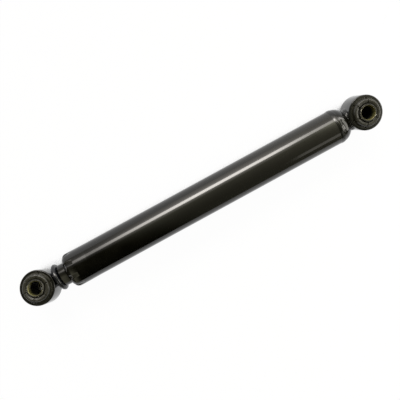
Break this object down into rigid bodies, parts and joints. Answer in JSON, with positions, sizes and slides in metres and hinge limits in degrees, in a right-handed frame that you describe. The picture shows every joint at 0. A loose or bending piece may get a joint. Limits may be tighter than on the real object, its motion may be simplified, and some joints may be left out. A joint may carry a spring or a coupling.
{
  "type": "steering damper",
  "caption": "Hydraulic steering damper with a rubber-bushed eye at either end; the piston rod slides out of a gloss black tube and turns freely in it.",
  "frame": {"origin": "centre of the base eye's bore, midway along its sleeve", "axes": "+X along the damper towards the rod eye, +Z along the base eye's bolt, up; the damper lies flat on its sleeve ends"},
  "size_m": [0.411, 0.041, 0.0412],
  "materials": {
    "black_paint": "gloss enamel",
    "bush_rubber": "moulded, satin",
    "bumper_rubber": "moulded, matt",
    "zinc_plate": "yellow zinc plate",
    "hard_chrome": "ground hard chrome",
    "bright_steel": "machined",
    "spring_steel": "blued strip",
    "sintered_iron": "steam-treated sinter",
    "bronze": "porous bronze",
    "band_polymer": "filled low-friction polymer",
    "stop_polymer": "natural moulded nylon",
    "seal_rubber": "nitrile, matt",
    "cell_film": "clear nylon film"
  },
  "bodies": {
    "damper_body": {"reserve_tube": "black_paint", "base_cap": "black_paint", "base_seam_weld": "black_paint", "base_eye": "black_paint", "base_eye_weld": "black_paint", "base_bush": "bush_rubber", "working_cylinder": "bright_steel", "gas_cell": "cell_film", "base_valve_body": "sintered_iron", "base_valve_stud": "bright_steel", "base_valve_nut": "bright_steel", "base_valve_washer": "bright_steel", "compression_discs": "spring_steel", "intake_spring": "spring_steel", "rod_guide": "sintered_iron", "rod_guide_bush": "bronze", "rod_seal": "seal_rubber", "seal_garter_spring": "spring_steel", "gland_cap": "black_paint", "wiper_ring": "seal_rubber"},
    "base_sleeve": {"base_sleeve": "zinc_plate"},
    "intake_plate": {"intake_plate": "spring_steel"},
    "piston_band": {"piston_band": "band_polymer"},
    "rod_assembly": {"piston_rod": "hard_chrome", "piston": "sintered_iron", "piston_nut": "bright_steel", "rebound_washer": "bright_steel", "rebound_discs": "spring_steel", "check_spring": "spring_steel", "check_stop_washer": "bright_steel", "rebound_stop_ring": "bright_steel", "rebound_bumper": "stop_polymer", "compression_bumper": "bumper_rubber", "rod_eye": "black_paint", "rod_eye_weld": "black_paint", "rod_bush": "bush_rubber"},
    "check_plate": {"check_plate": "spring_steel"},
    "rod_sleeve": {"rod_sleeve": "zinc_plate"}
  },
  "joints": [
    {"name": "rod_stroke", "type": "slide", "parent": "damper_body", "child": "piston_band", "axis": [1, 0, 0], "range_m": [0, 0.215]},
    {"name": "rod_swivel", "type": "hinge", "parent": "piston_band", "child": "rod_assembly", "pos_m": [0.062, 0, 0], "axis": [1, 0, 0], "continuous": true},
    {"name": "base_sleeve_twist", "type": "hinge", "parent": "damper_body", "child": "base_sleeve", "pos_m": [0, 0, 0], "axis": [0, 0, 1], "range_deg": [-20, 20], "stiffness_Nm_per_rad": 32},
    {"name": "rod_sleeve_twist", "type": "hinge", "parent": "rod_assembly", "child": "rod_sleeve", "pos_m": [0.375, 0, 0], "axis": [0, -0.2756, 0.9613], "range_deg": [-20, 20], "stiffness_Nm_per_rad": 32},
    {"name": "intake_plate_lift", "type": "slide", "parent": "damper_body", "child": "intake_plate", "axis": [1, 0, 0], "range_m": [0, 0.0008], "stiffness_N_per_m": 500, "springref_m": -0.0016, "deforming": ["intake_spring"]},
    {"name": "check_plate_lift", "type": "slide", "parent": "rod_assembly", "child": "check_plate", "axis": [1, 0, 0], "range_m": [0, 0.0008], "stiffness_N_per_m": 500, "springref_m": -0.0016, "deforming": ["check_spring"]}
  ]
}
